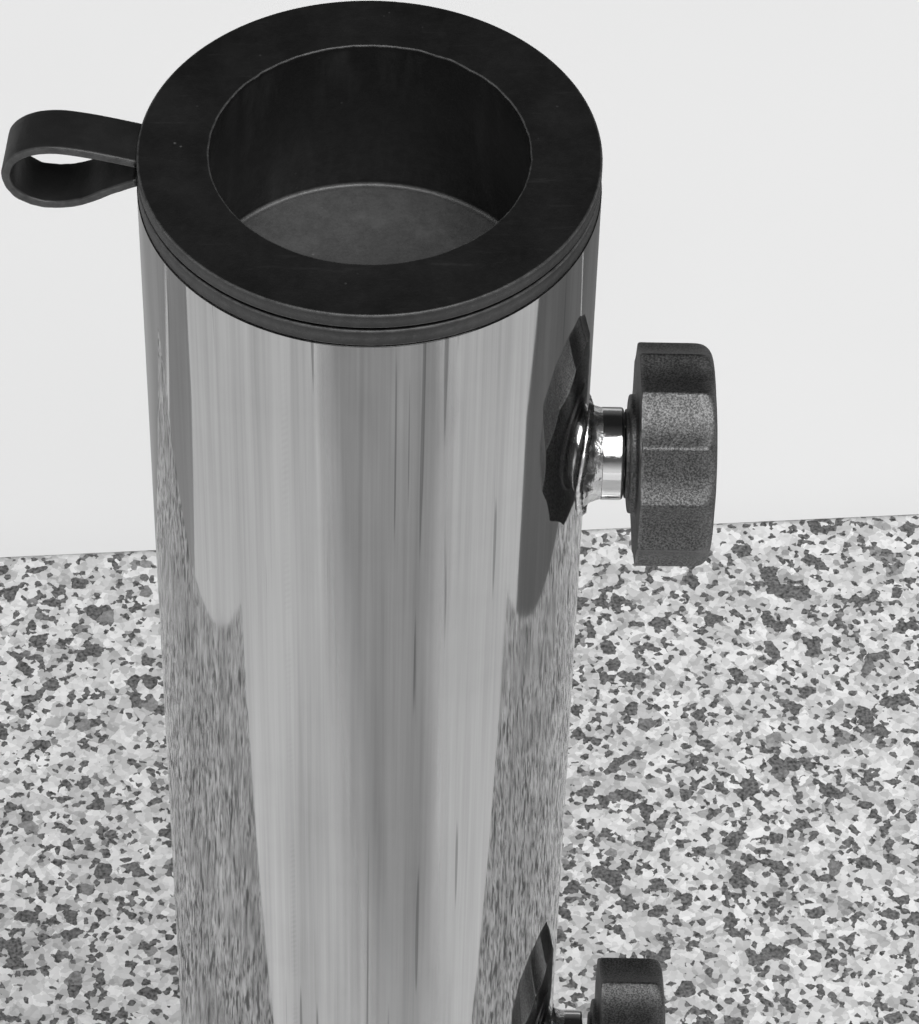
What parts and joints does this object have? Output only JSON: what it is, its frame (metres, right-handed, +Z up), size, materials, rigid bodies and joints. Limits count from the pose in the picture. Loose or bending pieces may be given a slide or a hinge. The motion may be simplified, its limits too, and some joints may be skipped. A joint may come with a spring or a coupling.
{
  "type": "parasol base",
  "caption": "Rectangular granite slab on rubber feet with a polished stainless socket tube, clamp screws with fluted knobs and a tethered rubber plug; holds a parasol pole.",
  "frame": {"origin": "on the ground, under the centre of the slab", "axes": "+X along the slab's long side, +Z up, -Y towards the long side near which the tube stands"},
  "size_m": [0.45, 0.28, 0.3812],
  "materials": {
    "granite": "polished grey granite, fine salt and pepper grain",
    "polished_tube": "mirror polished stainless steel with fine streaks along the tube",
    "stainless": "satin stainless steel",
    "chrome": "bright plated steel",
    "zinc": "zinc plated steel",
    "rubber": "matt black rubber",
    "plug_rubber": "matt black moulded rubber",
    "knob_plastic": "black plastic with a fine moulded grain",
    "nylon": "dark nylon"
  },
  "bodies": {
    "root": {"granite_slab": "granite", "anchor_sleeve_1": "zinc", "anchor_sleeve_2": "zinc", "anchor_sleeve_3": "zinc", "anchor_sleeve_4": "zinc", "rubber_foot_1": "rubber", "rubber_foot_2": "rubber", "rubber_foot_3": "rubber", "rubber_foot_4": "rubber", "foot_screw_1": "zinc", "foot_screw_2": "zinc", "foot_screw_3": "zinc", "foot_screw_4": "zinc", "base_flange": "stainless", "base_weld": "stainless", "flange_washer_1": "stainless", "flange_washer_2": "stainless", "flange_washer_3": "stainless", "flange_washer_4": "stainless", "flange_bolt_1": "stainless", "flange_bolt_2": "stainless", "flange_bolt_3": "stainless", "flange_bolt_4": "stainless", "socket_tube": "polished_tube", "pole_rest": "nylon", "upper_boss": "chrome", "upper_boss_weld": "chrome", "lower_boss": "chrome", "lower_boss_weld": "chrome", "rim_collar": "plug_rubber", "tether_strap": "plug_rubber"},
    "plug": {"plug_cup": "plug_rubber"},
    "upper_pad": {"upper_pressure_pad": "nylon"},
    "upper_screw": {"upper_stud": "chrome", "upper_knob": "knob_plastic"},
    "lower_pad": {"lower_pressure_pad": "nylon"},
    "lower_screw": {"lower_stud": "chrome", "lower_knob": "knob_plastic"}
  },
  "joints": [
    {"name": "plug_lift", "type": "slide", "parent": "root", "child": "plug", "axis": [0, 0, 1], "range_m": [0, 0.036], "deforming": ["tether_strap"]},
    {"name": "upper_clamp_travel", "type": "slide", "parent": "root", "child": "upper_pad", "axis": [0.9963, -0.0854, 0], "range_m": [0, 0.016]},
    {"name": "upper_knob_turn", "type": "hinge", "parent": "upper_pad", "child": "upper_screw", "pos_m": [0.03587, -0.06807, 0.3242], "axis": [0.9963, -0.0854, 0], "range_deg": [0, 4610]},
    {"name": "lower_clamp_travel", "type": "slide", "parent": "root", "child": "lower_pad", "axis": [0.9963, -0.0854, 0], "range_m": [-0.0009, 0.0152]},
    {"name": "lower_knob_turn", "type": "hinge", "parent": "lower_pad", "child": "lower_screw", "pos_m": [0.03676, -0.06815, 0.1813], "axis": [0.9963, -0.0854, 0], "range_deg": [-262, 4380]}
  ],
  "couplings": [
    {"joint": "upper_knob_turn", "follows": "upper_clamp_travel", "rad_per_m": 5026.5},
    {"joint": "lower_knob_turn", "follows": "lower_clamp_travel", "rad_per_m": 5026.5}
  ]
}
